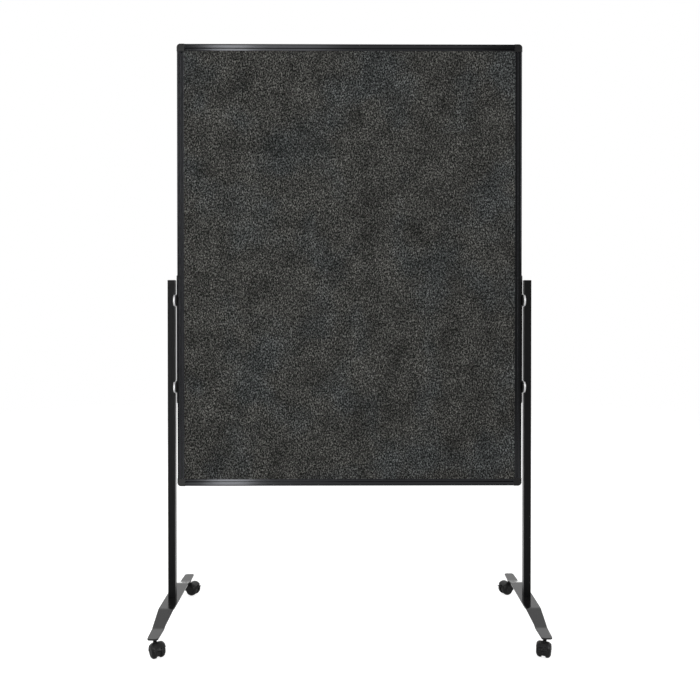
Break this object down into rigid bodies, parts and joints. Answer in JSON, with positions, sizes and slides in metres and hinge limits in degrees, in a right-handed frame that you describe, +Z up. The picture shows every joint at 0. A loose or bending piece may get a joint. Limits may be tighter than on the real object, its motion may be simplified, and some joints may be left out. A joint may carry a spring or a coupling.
{
  "type": "mobile pinboard",
  "caption": "Upright felt-covered pinboard in a dark extruded frame, carried at mid height by square posts on bent steel feet with braked twin-wheel castors.",
  "frame": {"origin": "on the floor, midway between the posts and between the front and rear castors", "axes": "+Z up, +X to the right as seen from the front, -Y towards the front"},
  "size_m": [1.266, 0.5808, 1.9883],
  "materials": {
    "rail_anodised": "satin",
    "cap_plastic": "matte",
    "core_board": "matte",
    "felt": "matte",
    "black_paint": "satin",
    "washer_plastic": "matte",
    "disc_aluminium": "satin",
    "foot_paint": "gloss",
    "castor_plastic": "satin",
    "wheel_plastic": "satin",
    "pedal_plastic": "satin",
    "hardware_steel": "satin"
  },
  "bodies": {
    "root": {"frame_rail_bottom": "rail_anodised", "frame_rail_top": "rail_anodised", "frame_rail_left": "rail_anodised", "frame_rail_right": "rail_anodised", "corner_cap_bottom_left": "cap_plastic", "corner_cap_bottom_right": "cap_plastic", "corner_cap_top_left": "cap_plastic", "corner_cap_top_right": "cap_plastic", "panel_core": "core_board", "felt_front": "felt", "felt_rear": "felt", "side_plate_left": "black_paint", "side_plate_right": "black_paint", "plate_screws": "hardware_steel", "nut_bar_left": "hardware_steel", "nut_bar_right": "hardware_steel", "pad_washers": "washer_plastic", "spacer_disc_upper_left": "disc_aluminium", "spacer_disc_lower_left": "disc_aluminium", "spacer_disc_upper_right": "disc_aluminium", "spacer_disc_lower_right": "disc_aluminium", "board_bolts": "hardware_steel", "post_left": "black_paint", "post_right": "black_paint", "post_cap_left": "cap_plastic", "post_cap_right": "cap_plastic", "base_plug_left": "hardware_steel", "base_plug_right": "hardware_steel", "foot_left": "foot_paint", "foot_right": "foot_paint", "foot_bolts": "hardware_steel", "castor_front_left_stem": "hardware_steel", "castor_front_right_stem": "hardware_steel", "castor_rear_left_stem": "hardware_steel", "castor_rear_right_stem": "hardware_steel"},
    "castor_front_left": {"castor_front_left_housing": "castor_plastic", "castor_front_left_axle": "hardware_steel"},
    "castor_front_left_wheel_inner": {"castor_front_left_wheel_inner": "wheel_plastic"},
    "castor_front_left_wheel_outer": {"castor_front_left_wheel_outer": "wheel_plastic"},
    "castor_front_left_brake": {"castor_front_left_brake_pedal": "pedal_plastic"},
    "castor_front_right": {"castor_front_right_housing": "castor_plastic", "castor_front_right_axle": "hardware_steel"},
    "castor_front_right_wheel_inner": {"castor_front_right_wheel_inner": "wheel_plastic"},
    "castor_front_right_wheel_outer": {"castor_front_right_wheel_outer": "wheel_plastic"},
    "castor_front_right_brake": {"castor_front_right_brake_pedal": "pedal_plastic"},
    "castor_rear_left": {"castor_rear_left_housing": "castor_plastic", "castor_rear_left_axle": "hardware_steel"},
    "castor_rear_left_wheel_inner": {"castor_rear_left_wheel_inner": "wheel_plastic"},
    "castor_rear_left_wheel_outer": {"castor_rear_left_wheel_outer": "wheel_plastic"},
    "castor_rear_left_brake": {"castor_rear_left_brake_pedal": "pedal_plastic"},
    "castor_rear_right": {"castor_rear_right_housing": "castor_plastic", "castor_rear_right_axle": "hardware_steel"},
    "castor_rear_right_wheel_inner": {"castor_rear_right_wheel_inner": "wheel_plastic"},
    "castor_rear_right_wheel_outer": {"castor_rear_right_wheel_outer": "wheel_plastic"},
    "castor_rear_right_brake": {"castor_rear_right_brake_pedal": "pedal_plastic"}
  },
  "joints": [
    {"name": "castor_front_left_swivel", "type": "hinge", "parent": "root", "child": "castor_front_left", "pos_m": [-0.6107, -0.248, 0.0514], "axis": [0, 0, 1], "continuous": true},
    {"name": "castor_front_left_roll_inner", "type": "hinge", "parent": "castor_front_left", "child": "castor_front_left_wheel_inner", "pos_m": [-0.59817, -0.26729, 0.0225], "axis": [0.8387, 0.5446, 0], "continuous": true},
    {"name": "castor_front_left_roll_outer", "type": "hinge", "parent": "castor_front_left", "child": "castor_front_left_wheel_outer", "pos_m": [-0.59817, -0.26729, 0.0225], "axis": [0.8387, 0.5446, 0], "continuous": true},
    {"name": "castor_front_left_brake", "type": "hinge", "parent": "castor_front_left", "child": "castor_front_left_brake", "pos_m": [-0.59137, -0.27777, 0.02608], "axis": [0.8387, 0.5446, 0], "range_deg": [0, 18]},
    {"name": "castor_front_right_swivel", "type": "hinge", "parent": "root", "child": "castor_front_right", "pos_m": [0.6107, -0.248, 0.0514], "axis": [0, 0, 1], "continuous": true},
    {"name": "castor_front_right_roll_inner", "type": "hinge", "parent": "castor_front_right", "child": "castor_front_right_wheel_inner", "pos_m": [0.60208, -0.26933, 0.0225], "axis": [0.9272, -0.3746, 0], "continuous": true},
    {"name": "castor_front_right_roll_outer", "type": "hinge", "parent": "castor_front_right", "child": "castor_front_right_wheel_outer", "pos_m": [0.60208, -0.26933, 0.0225], "axis": [0.9272, -0.3746, 0], "continuous": true},
    {"name": "castor_front_right_brake", "type": "hinge", "parent": "castor_front_right", "child": "castor_front_right_brake", "pos_m": [0.5974, -0.28091, 0.02608], "axis": [0.9272, -0.3746, 0], "range_deg": [0, 18]},
    {"name": "castor_rear_left_swivel", "type": "hinge", "parent": "root", "child": "castor_rear_left", "pos_m": [-0.6107, 0.248, 0.0514], "axis": [0, 0, 1], "continuous": true},
    {"name": "castor_rear_left_roll_inner", "type": "hinge", "parent": "castor_rear_left", "child": "castor_rear_left_wheel_inner", "pos_m": [-0.58985, 0.23828, 0.0225], "axis": [0.4226, 0.9063, 0], "continuous": true},
    {"name": "castor_rear_left_roll_outer", "type": "hinge", "parent": "castor_rear_left", "child": "castor_rear_left_wheel_outer", "pos_m": [-0.58985, 0.23828, 0.0225], "axis": [0.4226, 0.9063, 0], "continuous": true},
    {"name": "castor_rear_left_brake", "type": "hinge", "parent": "castor_rear_left", "child": "castor_rear_left_brake", "pos_m": [-0.57853, 0.233, 0.02608], "axis": [0.4226, 0.9063, 0], "range_deg": [0, 18]},
    {"name": "castor_rear_right_swivel", "type": "hinge", "parent": "root", "child": "castor_rear_right", "pos_m": [0.6107, 0.248, 0.0514], "axis": [0, 0, 1], "continuous": true},
    {"name": "castor_rear_right_roll_inner", "type": "hinge", "parent": "castor_rear_right", "child": "castor_rear_right_wheel_inner", "pos_m": [0.59039, 0.2372, 0.0225], "axis": [0.4695, -0.8829, 0], "continuous": true},
    {"name": "castor_rear_right_roll_outer", "type": "hinge", "parent": "castor_rear_right", "child": "castor_rear_right_wheel_outer", "pos_m": [0.59039, 0.2372, 0.0225], "axis": [0.4695, -0.8829, 0], "continuous": true},
    {"name": "castor_rear_right_brake", "type": "hinge", "parent": "castor_rear_right", "child": "castor_rear_right_brake", "pos_m": [0.57936, 0.23134, 0.02608], "axis": [0.4695, -0.8829, 0], "range_deg": [0, 18]}
  ]
}
